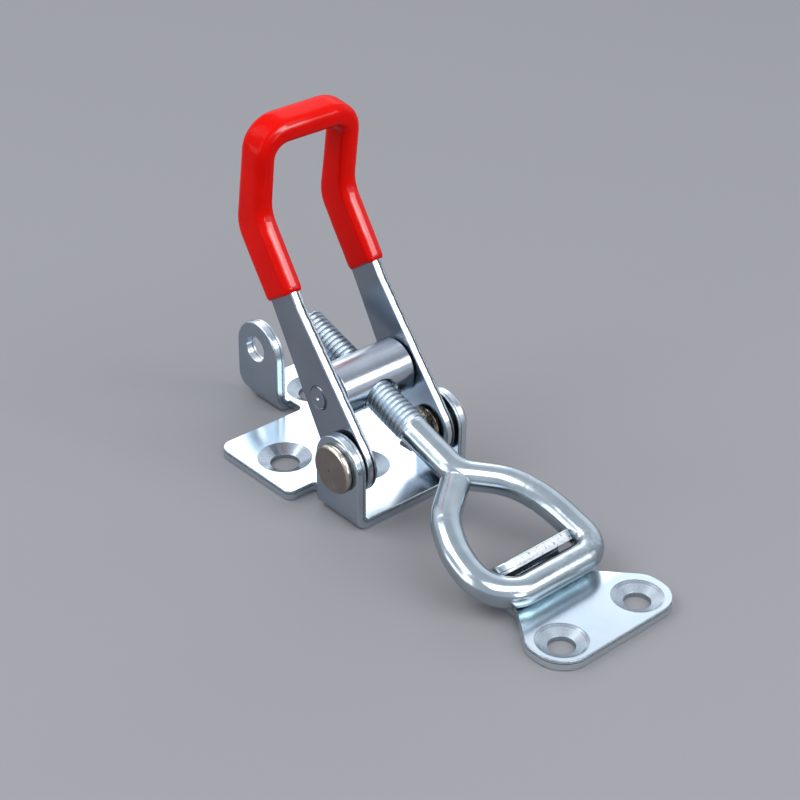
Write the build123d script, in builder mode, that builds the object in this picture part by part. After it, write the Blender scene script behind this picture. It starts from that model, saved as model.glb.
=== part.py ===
from build123d import *
from math import asin, cos, degrees, hypot, radians, sin, sqrt
import os

os.makedirs("parts", exist_ok=True)

# Over centre toggle latch: base bracket, lever with dipped grip, cross barrel,
# hook bolt and strike plate. Millimetres, +Z up, +X towards the strike.
# X = 0 is the lever pivot axis, Y = 0 the mid-plane between the ears and
# Z = 0 the underside of the base bracket and of the strike plate.

# ---- base bracket: one folded sheet --------------------------------------
SHEET = 2.0  # sheet thickness of bracket and strike
BEND_IN = 0.8  # inner radius of the folds
BEND_OUT = BEND_IN + SHEET
FRONT_X = 5.7  # front edge of the foot, and half width of an ear
EAR_OUT = 13.0  # outer face of an ear from the mid-plane
EAR_IN = EAR_OUT - SHEET
EAR_FOLD = EAR_OUT - BEND_OUT  # where the ear's fold starts on the foot
PIVOT_Z = 11.0  # pivot axis above the underside
EAR_TOP_Z = 11.25  # centre of an ear's round top
WING_FRONT_X = -9.6
WING_REAR_X = -30.6
WING_Y = 16.15
FOOT_REAR_X = -44.85
NOTCH_Y = 9.85  # depth line of the relief beside an ear
LUG_OUT_Y = 1.0  # outer face of the padlock lug
LUG_IN_Y = LUG_OUT_Y + SHEET
LUG_FOLD_Y = LUG_OUT_Y + BEND_OUT
SLOT_Y = LUG_FOLD_Y + 0.35  # side of the slot the lug was folded out of
LUG_FRONT_X = -34.5
LUG_R = 6.0
LUG_X = LUG_FRONT_X - LUG_R
LUG_TOP_Z = 17.4
LUG_Z = LUG_TOP_Z - LUG_R
LUG_FOLD_REAR_X = -43.2
LUG_CORNER_R = 3.2
LUG_FOOT_Z = 1.8  # underside of the lug behind its fold
LUG_HOLE = (-41.0, 11.8)
LUG_HOLE_R = 2.75
SCREW_HOLES = ((-19.4, -9.2), (-35.2, 10.3), (-8.1, 0.0))
SCREW_R = 2.725
SCREW_SINK_R = 5.05
SINK_ANGLE = 127.4

# ---- lever: one bent strip ------------------------------------------------
STRIP = 2.0  # strip thickness
ARM_OUT = 10.3  # outer face of an arm
ARM_IN = ARM_OUT - STRIP
LEVER_END = (-0.35, 10.83)  # centre of an arm's round end
LEVER_END_R = 5.8
FRONT_LEAN = 39.7  # lean of the arm's front edge from the vertical
BACK_LEAN = 30.4
LOW_AXIS = (-18.0, 36.5)  # on the strip's centre line, where the grip starts
LOW_LEAN = 34.06  # lean of the lower half of the gripped part
LOW_HALF = 3.25
DOG_LEG = (-26.17, 48.6)  # where the centre line turns forward again
UP_LEAN = 7.3  # forward lean of the upper half
UP_HALF = 2.55
BAR_Z = 65.1  # centre of the lever's cross bar
CORNER_OUT = 5.0
CORNER_IN = CORNER_OUT - STRIP

# ---- grip: dipped sleeve --------------------------------------------------
COAT = 0.75
GRIP_OUT = 11.4
GRIP_IN = 7.4
GRIP_BAR_HALF = 2.15
GRIP_CORNER_OUT = 6.0
GRIP_CORNER_IN = 2.3
GRIP_EDGE_R = 1.6

# ---- pivot rivets -----------------------------------------------------------
SHANK_R = 3.0
NECK_R = 4.25  # collar that holds the head off the ear
NECK_T = 0.12
HEAD_R = 4.6
HEAD_T = 1.6
HEAD_EDGE = 0.65  # rounding of the head's rim
DOME_H = 0.22
TAIL_R = 4.0
TAIL_IN = 6.95  # inner end of a rivet
TAIL_OUT = 7.95  # face of the formed tail beside the arm
PIVOT_GAP = 0.06  # radial running gap of the arm on the shank

# ---- barrel ------------------------------------------------------------------
BARREL_X, BARREL_Z = -8.01, 20.52
BARREL_R = 5.15
BARREL_HALF = 8.0
JOURNAL_R = 2.2
JOURNAL_END = 10.5  # the journals stand a little proud of the arms
JOURNAL_GAP = 0.05
BORE_R = 3.0

# ---- hook bolt ---------------------------------------------------------------
TILT = 17.8  # the bolt slopes down towards the strike
THREAD_R = 2.95
THREAD_REAR = -16.5  # along the bolt from the barrel's axis
THREAD_FRONT = 14.35
WIRE_R = 2.67
NECK_U = 26.0
LOOP_BAR_U = 51.35

# ---- strike plate ------------------------------------------------------------
STRIKE_HOLE_X = 51.7
STRIKE_HOLE_Y = 9.0
STRIKE_R = 2.35
STRIKE_SINK_R = 4.5
STRIKE_END_X = 57.1
STRIKE_NEAR_Y = -14.4
STRIKE_FAR_Y = 15.0
STRIKE_NECK_X = 41.1
STRIKE_MID_Y = -0.55
STRIKE_NECK_HALF = 8.3
LIP_ROOT_X = 33.0  # where the lip's underside would meet the foot's top
LIP_IN_R = 1.0
LIP_LENGTH = 5.0

# ---- edges of the blanks -----------------------------------------------------
ROLLED_EDGE = 0.3  # rounding of a sheared edge on the side the punch entered
SHEARED_EDGE = 0.12  # and on the side it left


def edges_at(part, x=None, y=None, z=None):
    """The edges of a part whose middle lies at the coordinates given."""
    found = []
    for e in part.edges():
        c = e.center()
        if all(w is None or abs(g - w) < 0.02 for g, w in ((c.X, x), (c.Y, y), (c.Z, z))):
            found.append(e)
    return found


def cross_point(p, a, q, b):
    """Where the line through p along a meets the line through q along b."""
    t = ((q[0] - p[0]) * b[1] - (q[1] - p[1]) * b[0]) / (a[0] * b[1] - a[1] * b[0])
    return (p[0] + t * a[0], p[1] + t * a[1])


# ============================================================ base bracket
with BuildPart() as base_bracket:
    # the flat foot, up to the fold lines
    with BuildSketch(Plane.XY) as foot:
        with BuildLine():
            Polyline(
                (FRONT_X, -EAR_FOLD),
                (FRONT_X, EAR_FOLD),
                (-FRONT_X, EAR_FOLD),
                (-FRONT_X, NOTCH_Y),
                (WING_FRONT_X, NOTCH_Y),
                (WING_FRONT_X, WING_Y),
                (FOOT_REAR_X, WING_Y),
                (FOOT_REAR_X, LUG_FOLD_Y),
                (LUG_FRONT_X, LUG_FOLD_Y),
                (LUG_FRONT_X, SLOT_Y),
                (WING_REAR_X, SLOT_Y),
                (WING_REAR_X, -WING_Y),
                (WING_FRONT_X, -WING_Y),
                (WING_FRONT_X, -NOTCH_Y),
                (-FRONT_X, -NOTCH_Y),
                (-FRONT_X, -EAR_FOLD),
                close=True,
            )
        make_face()
        # cut-away corner beside the fold, so that only the lug's width folds
        corners = foot.vertices()
        rear = [v for v in corners if abs(v.X - FOOT_REAR_X) < 0.01 and v.Y > 10]
        fillet(rear, 2.5)
        wing_rear = [v for v in foot.vertices() if abs(v.X - WING_REAR_X) < 0.01 and v.Y < 0]
        fillet(wing_rear, 2.5)
        wing_front = [
            v for v in foot.vertices() if abs(v.X - WING_FRONT_X) < 0.01 and abs(v.Y) > 16
        ]
        fillet(wing_front, 1.5)
        lug_rear = [
            v for v in foot.vertices() if abs(v.X - FOOT_REAR_X) < 0.01 and v.Y < 10
        ]
        fillet(lug_rear, LUG_FOLD_REAR_X - FOOT_REAR_X - 0.05)
        slot_end = [
            v for v in foot.vertices()
            if abs(v.X - WING_REAR_X) < 0.01 and abs(v.Y - SLOT_Y) < 0.01
        ]
        fillet(slot_end, 1.3)
        notch = [
            v for v in foot.vertices()
            if abs(abs(v.Y) - NOTCH_Y) < 0.01 and abs(v.X - WING_FRONT_X) < 0.01
        ]
        fillet(notch, 1.2)
    extrude(amount=SHEET)

    # the two ears: a fold along X and a flat cheek with a round top
    for side in (-1, 1):
        with BuildSketch(Plane.YZ.offset(-FRONT_X)):
            with BuildLine():
                a = EAR_FOLD * side
                Line((a, 0), (a, SHEET))
                CenterArc((a, BEND_OUT), BEND_IN, -90, 90 * side)
                Line((a + side * BEND_IN, BEND_OUT), (a + side * BEND_OUT, BEND_OUT))
                CenterArc((a, BEND_OUT), BEND_OUT, -90, 90 * side)
            make_face()
        extrude(amount=2 * FRONT_X)
        near = Plane.XZ.offset(-(EAR_IN if side > 0 else -EAR_OUT))
        with BuildSketch(near):
            with BuildLine():
                Polyline(
                    (-FRONT_X, EAR_TOP_Z),
                    (-FRONT_X, BEND_OUT),
                    (FRONT_X, BEND_OUT),
                    (FRONT_X, EAR_TOP_Z),
                )
                CenterArc((0, EAR_TOP_Z), FRONT_X, 0, 180)
            make_face()
        extrude(amount=-SHEET)

    # pierced and countersunk screw holes, and the rivet holes
    with Locations(*[(x, y, SHEET) for x, y in SCREW_HOLES]):
        CounterSinkHole(SCREW_R, SCREW_SINK_R, counter_sink_angle=SINK_ANGLE)
    with BuildSketch(Plane.XZ):
        with Locations((0, PIVOT_Z)):
            Circle(SHANK_R)
    extrude(amount=20, both=True, mode=Mode.SUBTRACT)

# the padlock lug, folded up along X behind the slot
with BuildPart() as lug:
    with BuildSketch(Plane.YZ.offset(LUG_FRONT_X - 2 * LUG_R)):
        with BuildLine():
            Polyline(
                (LUG_FOLD_Y + 1.0, 0),
                (LUG_FOLD_Y + 1.0, SHEET),
                (LUG_FOLD_Y, SHEET),
            )
            CenterArc((LUG_FOLD_Y, BEND_OUT), BEND_IN, 180, 90)
            Polyline(
                (LUG_IN_Y, BEND_OUT),
                (LUG_IN_Y, LUG_TOP_Z),
                (LUG_OUT_Y, LUG_TOP_Z),
                (LUG_OUT_Y, BEND_OUT),
            )
            CenterArc((LUG_FOLD_Y, BEND_OUT), BEND_OUT, 180, 90)
            Line((LUG_FOLD_Y, 0), (LUG_FOLD_Y + 1.0, 0))
        make_face()
    extrude(amount=2 * LUG_R)
    # its outline, seen from the side
    with BuildSketch(Plane.XZ.offset(-10)):
        with BuildLine():
            Polyline(
                (LUG_FRONT_X, LUG_Z),
                (LUG_FRONT_X, 0),
                (LUG_FOLD_REAR_X, 0),
                (LUG_FOLD_REAR_X, LUG_FOOT_Z),
            )
            CenterArc(
                (LUG_X - LUG_R + LUG_CORNER_R, LUG_FOOT_Z + LUG_CORNER_R),
                LUG_CORNER_R,
                180,
                90,
            )
            Line(
                (LUG_X - LUG_R + LUG_CORNER_R, LUG_FOOT_Z),
                (LUG_FOLD_REAR_X, LUG_FOOT_Z),
            )
            Line((LUG_X - LUG_R, LUG_FOOT_Z + LUG_CORNER_R), (LUG_X - LUG_R, LUG_Z))
            CenterArc((LUG_X, LUG_Z), LUG_R, 0, 180)
        make_face()
        with Locations(LUG_HOLE):
            Circle(LUG_HOLE_R, mode=Mode.SUBTRACT)
    extrude(amount=20, mode=Mode.INTERSECT)

with base_bracket:
    add(lug.part)
    # the blank's edges: each seed carries on along the run of edges tangent to it
    fillet(edges_at(base_bracket, x=FRONT_X, z=0), ROLLED_EDGE)
    fillet(edges_at(base_bracket, y=-WING_Y, z=0), ROLLED_EDGE)
    fillet(edges_at(base_bracket, y=WING_Y, z=0), ROLLED_EDGE)
    fillet(edges_at(base_bracket, x=LUG_X, y=LUG_OUT_Y, z=LUG_TOP_Z), ROLLED_EDGE)
    fillet(
        edges_at(base_bracket, x=FRONT_X, z=SHEET)
        + edges_at(base_bracket, y=-WING_Y, z=SHEET)
        + edges_at(base_bracket, y=WING_Y, z=SHEET),
        SHEARED_EDGE,
    )

base_bracket.part.label = "base_bracket"
export_step(base_bracket.part, "parts/base_bracket.step")

# =================================================================== lever
front_dir = (-sin(radians(FRONT_LEAN)), cos(radians(FRONT_LEAN)))
front_at = (
    LEVER_END[0] + LEVER_END_R * front_dir[1],
    LEVER_END[1] - LEVER_END_R * front_dir[0],
)
back_dir = (-sin(radians(BACK_LEAN)), cos(radians(BACK_LEAN)))
back_at = (
    LEVER_END[0] - LEVER_END_R * back_dir[1],
    LEVER_END[1] + LEVER_END_R * back_dir[0],
)
low_dir = (-sin(radians(LOW_LEAN)), cos(radians(LOW_LEAN)))
low_out = (low_dir[1], -low_dir[0])  # towards the front
up_dir = (sin(radians(UP_LEAN)), cos(radians(UP_LEAN)))
up_out = (up_dir[1], -up_dir[0])
bar_run = (BAR_Z - DOG_LEG[1]) / up_dir[1]
bar_at = (DOG_LEG[0] + bar_run * up_dir[0], BAR_Z)


def off(p, d, k):
    return (p[0] + k * d[0], p[1] + k * d[1])


def gripped(half_low, half_up, rise):
    """Front and back corners of the gripped part: dog-leg and top, both sides."""
    front = cross_point(off(DOG_LEG, low_out, half_low), low_dir, off(DOG_LEG, up_out, half_up), up_dir)
    back = cross_point(off(DOG_LEG, low_out, -half_low), low_dir, off(DOG_LEG, up_out, -half_up), up_dir)
    top = off(bar_at, up_dir, rise)
    return front, back, off(top, up_out, half_up), off(top, up_out, -half_up)


front_knee, back_knee, front_top, back_top = gripped(LOW_HALF, UP_HALF, STRIP / 2)
front_join = cross_point(front_at, front_dir, off(LOW_AXIS, low_out, LOW_HALF), low_dir)
back_join = cross_point(back_at, back_dir, off(LOW_AXIS, low_out, -LOW_HALF), low_dir)

# the plane of the U: local x is Y, local y runs up the gripped part
U_PLANE = Plane(
    origin=(bar_at[0], 0, bar_at[1]), x_dir=(0, 1, 0), z_dir=(up_dir[1], 0, -up_dir[0])
)

with BuildPart() as lever:
    with BuildSketch(Plane.XZ) as arm_side:
        with BuildLine():
            Polyline(
                LEVER_END,
                front_at,
                front_join,
                front_knee,
                front_top,
                back_top,
                back_knee,
                back_join,
                back_at,
                close=True,
            )
        make_face()
        knees = [
            v for v in arm_side.vertices()
            if hypot(v.X - front_knee[0], v.Y - front_knee[1]) < 0.1
            or hypot(v.X - back_knee[0], v.Y - back_knee[1]) < 0.1
        ]
        fillet(knees, 5.0)
        with Locations(LEVER_END):
            Circle(LEVER_END_R)
    extrude(amount=ARM_OUT, both=True)
    # bent to a U
    with BuildSketch(U_PLANE) as u_form:
        with BuildLine():
            Polyline(
                (-ARM_OUT, -90),
                (-ARM_OUT, STRIP / 2),
                (ARM_OUT, STRIP / 2),
                (ARM_OUT, -90),
                (ARM_IN, -90),
                (ARM_IN, -STRIP / 2),
                (-ARM_IN, -STRIP / 2),
                (-ARM_IN, -90),
                close=True,
            )
        make_face()
        fillet(u_form.vertices().group_by(Axis.Y)[-1], CORNER_OUT)
        inner = [v for v in u_form.vertices() if abs(abs(v.X) - ARM_IN) < 0.01 and v.Y > -50]
        fillet(inner, CORNER_IN)
    extrude(amount=80, both=True, mode=Mode.INTERSECT)
    # pivot holes and journal holes through both arms
    with BuildSketch(Plane.XZ):
        with Locations((0, PIVOT_Z)):
            Circle(SHANK_R + PIVOT_GAP)
        with Locations((BARREL_X, BARREL_Z)):
            Circle(JOURNAL_R + JOURNAL_GAP)
    extrude(amount=20, both=True, mode=Mode.SUBTRACT)
    # the strip's long edges: the seed carries on round the U to the other arm
    for y, edge_r in ((ARM_OUT, ROLLED_EDGE), (ARM_IN, SHEARED_EDGE)):
        seed = [e for e in edges_at(lever, y=y) if e.geom_type == GeomType.LINE]
        fillet(seed, edge_r)

lever.part.label = "lever"
export_step(lever.part, "parts/lever.step")

# ==================================================================== grip
g_front_knee, g_back_knee, g_front_top, g_back_top = gripped(
    LOW_HALF + COAT, UP_HALF + COAT, GRIP_BAR_HALF
)
g_front_low = off(LOW_AXIS, low_out, LOW_HALF + COAT)
g_back_low = off(LOW_AXIS, low_out, -LOW_HALF - COAT)

with BuildPart() as grip:
    with BuildSketch(Plane.XZ) as grip_side:
        with BuildLine():
            Polyline(
                g_front_low, g_front_knee, g_front_top, g_back_top, g_back_knee, g_back_low,
                close=True,
            )
        make_face()
        g_knees = [
            v for v in grip_side.vertices()
            if hypot(v.X - g_front_knee[0], v.Y - g_front_knee[1]) < 0.1
            or hypot(v.X - g_back_knee[0], v.Y - g_back_knee[1]) < 0.1
        ]
        fillet(g_knees, 6.0)
    extrude(amount=GRIP_OUT, both=True)
    with BuildSketch(U_PLANE) as grip_u:
        with BuildLine():
            Polyline(
                (-GRIP_OUT, -90),
                (-GRIP_OUT, GRIP_BAR_HALF),
                (GRIP_OUT, GRIP_BAR_HALF),
                (GRIP_OUT, -90),
                (GRIP_IN, -90),
                (GRIP_IN, -GRIP_BAR_HALF),
                (-GRIP_IN, -GRIP_BAR_HALF),
                (-GRIP_IN, -90),
                close=True,
            )
        make_face()
        fillet(grip_u.vertices().group_by(Axis.Y)[-1], GRIP_CORNER_OUT)
        inner = [v for v in grip_u.vertices() if abs(abs(v.X) - GRIP_IN) < 0.01 and v.Y > -50]
        fillet(inner, GRIP_CORNER_IN)
    extrude(amount=80, both=True, mode=Mode.INTERSECT)

    # rounded edges along the whole sleeve, all but the cut ends
    straight_across = (GRIP_OUT - GRIP_IN, 2 * (UP_HALF + COAT), 2 * (LOW_HALF + COAT))
    long_edges = [
        e for e in grip.edges()
        if not (e.geom_type == GeomType.LINE and min(abs(e.length - k) for k in straight_across) < 0.02)
    ]
    fillet(long_edges, GRIP_EDGE_R)
    add(lever.part, mode=Mode.SUBTRACT)

grip.part.label = "grip"
export_step(grip.part, "parts/grip.step")

# ============================================================ pivot rivets
HEAD_FACE = EAR_OUT + HEAD_T - DOME_H  # where the rim's rounding ends
crown_r = HEAD_R - HEAD_EDGE
crown = (crown_r**2 + DOME_H**2) / (2 * DOME_H)
crown_turn = degrees(asin(crown_r / crown))

for side, tag in ((-1, "left"), (1, "right")):
    with BuildPart() as pivot_rivet:
        with BuildSketch(Plane.YZ) as half_section:
            with BuildLine():
                w = side
                z = PIVOT_Z
                Polyline(
                    (w * TAIL_IN, z),
                    (w * (TAIL_IN + 0.05), z + TAIL_R - 1.3),
                    (w * (TAIL_IN + 0.35), z + TAIL_R - 0.45),
                    (w * (TAIL_IN + 0.7), z + TAIL_R),
                    (w * TAIL_OUT, z + TAIL_R),
                    (w * TAIL_OUT, z + SHANK_R),
                    (w * EAR_OUT, z + SHANK_R),
                    (w * EAR_OUT, z + NECK_R),
                    (w * (EAR_OUT + NECK_T), z + NECK_R),
                    (w * (EAR_OUT + NECK_T), z + HEAD_R - 0.3),
                    (w * (EAR_OUT + NECK_T + 0.3), z + HEAD_R),
                    (w * (HEAD_FACE - HEAD_EDGE), z + HEAD_R),
                )
                # the rim's rounding, then the crown about a centre on the axis
                CenterArc(
                    (w * (HEAD_FACE - HEAD_EDGE), z + crown_r),
                    HEAD_EDGE,
                    90,
                    -90 * side,
                )
                CenterArc(
                    (w * (EAR_OUT + HEAD_T - crown), z),
                    crown,
                    crown_turn if side > 0 else 180 - crown_turn,
                    -crown_turn * side,
                )
                Line((w * (EAR_OUT + HEAD_T), z), (w * TAIL_IN, z))
            make_face()
        revolve(axis=Axis((0, 0, PIVOT_Z), (0, 1, 0)))
    pivot_rivet.part.label = "pivot_rivet_" + tag
    export_step(pivot_rivet.part, "parts/pivot_rivet_" + tag + ".step")

# ================================================================== barrel
bolt_dir = Vector(cos(radians(TILT)), 0, -sin(radians(TILT)))
bolt_up = Vector(sin(radians(TILT)), 0, cos(radians(TILT)))
BARREL_AT = Vector(BARREL_X, 0, BARREL_Z)

with BuildPart() as barrel:
    with BuildSketch(Plane.YZ.offset(BARREL_X)):
        with BuildLine():
            Polyline(
                (-JOURNAL_END, BARREL_Z),
                (-JOURNAL_END, BARREL_Z + JOURNAL_R - 0.25),
                (-JOURNAL_END + 0.25, BARREL_Z + JOURNAL_R),
                (-BARREL_HALF, BARREL_Z + JOURNAL_R),
                (-BARREL_HALF, BARREL_Z + BARREL_R - 0.35),
                (-BARREL_HALF + 0.35, BARREL_Z + BARREL_R),
                (BARREL_HALF - 0.35, BARREL_Z + BARREL_R),
                (BARREL_HALF, BARREL_Z + BARREL_R - 0.35),
                (BARREL_HALF, BARREL_Z + JOURNAL_R),
                (JOURNAL_END - 0.25, BARREL_Z + JOURNAL_R),
                (JOURNAL_END, BARREL_Z + JOURNAL_R - 0.25),
                (JOURNAL_END, BARREL_Z),
                close=True,
            )
        make_face()
    revolve(axis=Axis((BARREL_X, 0, BARREL_Z), (0, 1, 0)))
    # cross bore for the bolt, countersunk at both mouths
    with BuildSketch(Plane(origin=BARREL_AT, x_dir=(0, 1, 0), z_dir=bolt_dir)):
        Circle(BORE_R)
    extrude(amount=12, both=True, mode=Mode.SUBTRACT)
    for way in (-1, 1):
        mouth = Plane(origin=BARREL_AT + bolt_dir * (way * 3.6), x_dir=(0, 1, 0), z_dir=bolt_dir * way)
        with BuildSketch(mouth):
            Circle(BORE_R)
        with BuildSketch(mouth.offset(1.6)):
            Circle(BORE_R + 0.9)
        loft(mode=Mode.SUBTRACT)
    # centre-punch marks in the journal ends
    for way in (-1, 1):
        end = Plane(
            origin=(BARREL_X, way * JOURNAL_END, BARREL_Z), x_dir=(1, 0, 0), z_dir=(0, -way, 0)
        )
        with BuildSketch(end):
            Circle(0.45)
        with BuildSketch(end.offset(0.4)):
            Circle(0.05)
        loft(mode=Mode.SUBTRACT)

barrel.part.label = "barrel"
export_step(barrel.part, "parts/barrel.step")

# =============================================================== hook bolt
BOLT_PLANE = Plane(origin=BARREL_AT, x_dir=bolt_dir, z_dir=bolt_up)

with BuildPart() as hook_bolt:
    # threaded end, plain outside form at the thread's major diameter
    with BuildSketch(Plane(origin=BARREL_AT + bolt_dir * THREAD_REAR, x_dir=(0, 1, 0), z_dir=bolt_dir)):
        Circle(THREAD_R)
    extrude(amount=THREAD_FRONT - THREAD_REAR)
    rear = hook_bolt.edges().filter_by(GeomType.CIRCLE).sort_by(Axis.X)[0]
    front = hook_bolt.edges().filter_by(GeomType.CIRCLE).sort_by(Axis.X)[-1]
    chamfer(rear, 0.7)
    chamfer(front, 0.25)
    # the wire, round the +Y side of the loop to the middle of its end bar
    with BuildLine(BOLT_PLANE) as wire_far:
        FilletPolyline(
            (THREAD_FRONT - 3, 0),
            (NECK_U, 0),
            (31.9, 7.55),
            (38.6, 10.25),
            (LOOP_BAR_U, 10.8),
            (LOOP_BAR_U, -2.0),
            radius=(5.0, 12.0, 22.0, 4.0),
        )
    with BuildSketch(Plane(origin=wire_far.line @ 0, z_dir=wire_far.line % 0)):
        Circle(WIRE_R)
    sweep(path=wire_far.line)
    # and back along the -Y side to its cut end, which butts on the neck
    with BuildLine(BOLT_PLANE) as wire_near:
        FilletPolyline(
            (LOOP_BAR_U, -2.0),
            (LOOP_BAR_U, -13.1),
            (40.0, -12.7),
            (33.0, -8.9),
            (27.2, -1.2),
            radius=(6.8, 18.0, 12.0),
        )
    with BuildSketch(Plane(origin=wire_near.line @ 0, z_dir=wire_near.line % 0)):
        Circle(WIRE_R)
    sweep(path=wire_near.line)

hook_bolt.part.label = "hook_bolt"
export_step(hook_bolt.part, "parts/hook_bolt.step")

# ============================================================ strike plate
lip_at = (LIP_ROOT_X + LIP_IN_R * 2.41421, SHEET + LIP_IN_R)  # centre of the fold
LIP_OUT_R = LIP_IN_R + SHEET
k = sqrt(0.5)

with BuildPart() as strike_plate:
    with BuildSketch(Plane.XY) as strike_foot:
        with BuildLine():
            Polyline(
                (lip_at[0], STRIKE_MID_Y - STRIKE_NECK_HALF),
                (STRIKE_NECK_X, STRIKE_MID_Y - STRIKE_NECK_HALF),
                (STRIKE_HOLE_X - 2.9, STRIKE_NEAR_Y),
                (STRIKE_END_X, STRIKE_NEAR_Y),
                (STRIKE_END_X, STRIKE_FAR_Y),
                (STRIKE_HOLE_X - 2.9, STRIKE_FAR_Y),
                (STRIKE_NECK_X, STRIKE_MID_Y + STRIKE_NECK_HALF),
                (lip_at[0], STRIKE_MID_Y + STRIKE_NECK_HALF),
                close=True,
            )
        make_face()
        fillet(strike_foot.vertices().group_by(Axis.X)[-1], 5.3)
        fillet(
            [v for v in strike_foot.vertices() if abs(v.X - STRIKE_HOLE_X + 2.9) < 0.01], 4.5
        )
        fillet([v for v in strike_foot.vertices() if abs(v.X - STRIKE_NECK_X) < 0.01], 3.0)
    extrude(amount=SHEET)
    # the fold and the lip, leaning back over the foot
    with BuildSketch(Plane.XZ.offset(-(STRIKE_MID_Y + STRIKE_NECK_HALF))):
        with BuildLine():
            inner = (lip_at[0] - k * LIP_IN_R, lip_at[1] + k * LIP_IN_R)
            outer = (lip_at[0] - k * LIP_OUT_R, lip_at[1] + k * LIP_OUT_R)
            CenterArc(lip_at, LIP_IN_R, 135, 135)
            Line((lip_at[0], SHEET), (lip_at[0], 0))
            CenterArc(lip_at, LIP_OUT_R, 135, 135)
            Polyline(
                inner,
                (inner[0] + k * LIP_LENGTH, inner[1] + k * LIP_LENGTH),
                (outer[0] + k * LIP_LENGTH, outer[1] + k * LIP_LENGTH),
                outer,
            )
        make_face()
    extrude(amount=2 * STRIKE_NECK_HALF)
    # rounded corners of the lip's tip, fuller on one side
    tips = strike_plate.edges().filter_by(Axis((0, 0, 0), (-1, 0, 1))).group_by(Axis.Z)[-1]
    tips = tips.sort_by(Axis.Y)
    fillet(tips[0], 3.0)
    tips = strike_plate.edges().filter_by(Axis((0, 0, 0), (-1, 0, 1))).group_by(Axis.Z)[-1]
    fillet(tips.sort_by(Axis.Y)[-1], 1.6)
    with Locations(*[(STRIKE_HOLE_X, y, SHEET) for y in (-STRIKE_HOLE_Y, STRIKE_HOLE_Y)]):
        CounterSinkHole(STRIKE_R, STRIKE_SINK_R, counter_sink_angle=SINK_ANGLE)
    # the blank's edges: each seed carries on along the run of edges tangent to it
    fillet(edges_at(strike_plate, x=STRIKE_END_X, z=0), ROLLED_EDGE)
    fillet(edges_at(strike_plate, x=STRIKE_END_X, z=SHEET), SHEARED_EDGE)

strike_plate.part.label = "strike_plate"
export_step(strike_plate.part, "parts/strike_plate.step")
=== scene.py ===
import math

import bmesh
import bpy
from mathutils import Matrix, Vector, noise


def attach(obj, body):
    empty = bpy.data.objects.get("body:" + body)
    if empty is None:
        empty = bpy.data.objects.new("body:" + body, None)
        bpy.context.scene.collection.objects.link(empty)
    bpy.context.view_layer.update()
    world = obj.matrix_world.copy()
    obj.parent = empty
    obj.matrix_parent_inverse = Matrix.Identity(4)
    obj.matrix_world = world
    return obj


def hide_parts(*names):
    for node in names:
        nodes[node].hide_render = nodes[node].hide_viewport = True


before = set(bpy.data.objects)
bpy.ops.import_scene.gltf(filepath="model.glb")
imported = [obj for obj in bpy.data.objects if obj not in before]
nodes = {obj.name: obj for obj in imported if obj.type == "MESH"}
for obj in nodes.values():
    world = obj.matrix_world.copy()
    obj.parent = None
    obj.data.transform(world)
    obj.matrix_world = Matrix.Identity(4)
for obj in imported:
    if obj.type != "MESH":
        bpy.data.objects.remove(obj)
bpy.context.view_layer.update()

# ------------------------------------------------------------------ dimensions
MM = 0.001
BARREL_AT = Vector((-8.01, 0.0, 20.52))
TILT = math.radians(17.8)
BOLT_DIR = Vector((math.cos(TILT), 0.0, -math.sin(TILT)))
BOLT_UP = Vector((math.sin(TILT), 0.0, math.cos(TILT)))
ACROSS = Vector((0.0, 1.0, 0.0))
PITCH = 1.0
THREAD_REAR, THREAD_FRONT = -16.5, 14.35
MAJOR_R, ROOT_R, WIRE_R = 2.95, 2.56, 2.67
LOOP_BAR_U = 51.35


# ------------------------------------------------------------------- materials
class X:
    """A node socket that can be used in sums."""

    def __init__(self, tree, sock):
        self.tree, self.sock = tree, sock

    def _op(self, op, other=None, third=None, clamp=False):
        n = self.tree.nodes.new("ShaderNodeMath")
        n.operation = op
        n.use_clamp = clamp
        self.tree.links.new(self.sock, n.inputs[0])
        for i, v in ((1, other), (2, third)):
            if v is None:
                continue
            if isinstance(v, X):
                self.tree.links.new(v.sock, n.inputs[i])
            else:
                n.inputs[i].default_value = v
        return X(self.tree, n.outputs[0])

    def __add__(self, o):
        return self._op("ADD", o)

    __radd__ = __add__

    def __sub__(self, o):
        return self._op("SUBTRACT", o)

    def __rsub__(self, o):
        return self._op("MULTIPLY", -1.0)._op("ADD", o)

    def __mul__(self, o):
        return self._op("MULTIPLY", o)

    __rmul__ = __mul__

    def __truediv__(self, o):
        return self._op("DIVIDE", o)

    def abs(self):
        return self._op("ABSOLUTE")

    def sqrt(self):
        return self._op("SQRT")

    def sin(self):
        return self._op("SINE")

    def power(self, p):
        return self._op("POWER", p)

    def over(self, edge):
        return self._op("GREATER_THAN", edge)

    def under(self, edge):
        return self._op("LESS_THAN", edge)

    def clamp(self):
        return self._op("ADD", 0.0, clamp=True)

    def ramp(self, lo, hi):
        """0 at lo, 1 at hi, smooth between; lo may be above hi."""
        n = self.tree.nodes.new("ShaderNodeMapRange")
        n.interpolation_type = "SMOOTHSTEP"
        self.tree.links.new(self.sock, n.inputs["Value"])
        n.inputs["From Min"].default_value = lo
        n.inputs["From Max"].default_value = hi
        n.inputs["To Min"].default_value = 0.0
        n.inputs["To Max"].default_value = 1.0
        return X(self.tree, n.outputs[0])

    def max(self, o):
        return self._op("MAXIMUM", o)

    def min(self, o):
        return self._op("MINIMUM", o)


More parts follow.
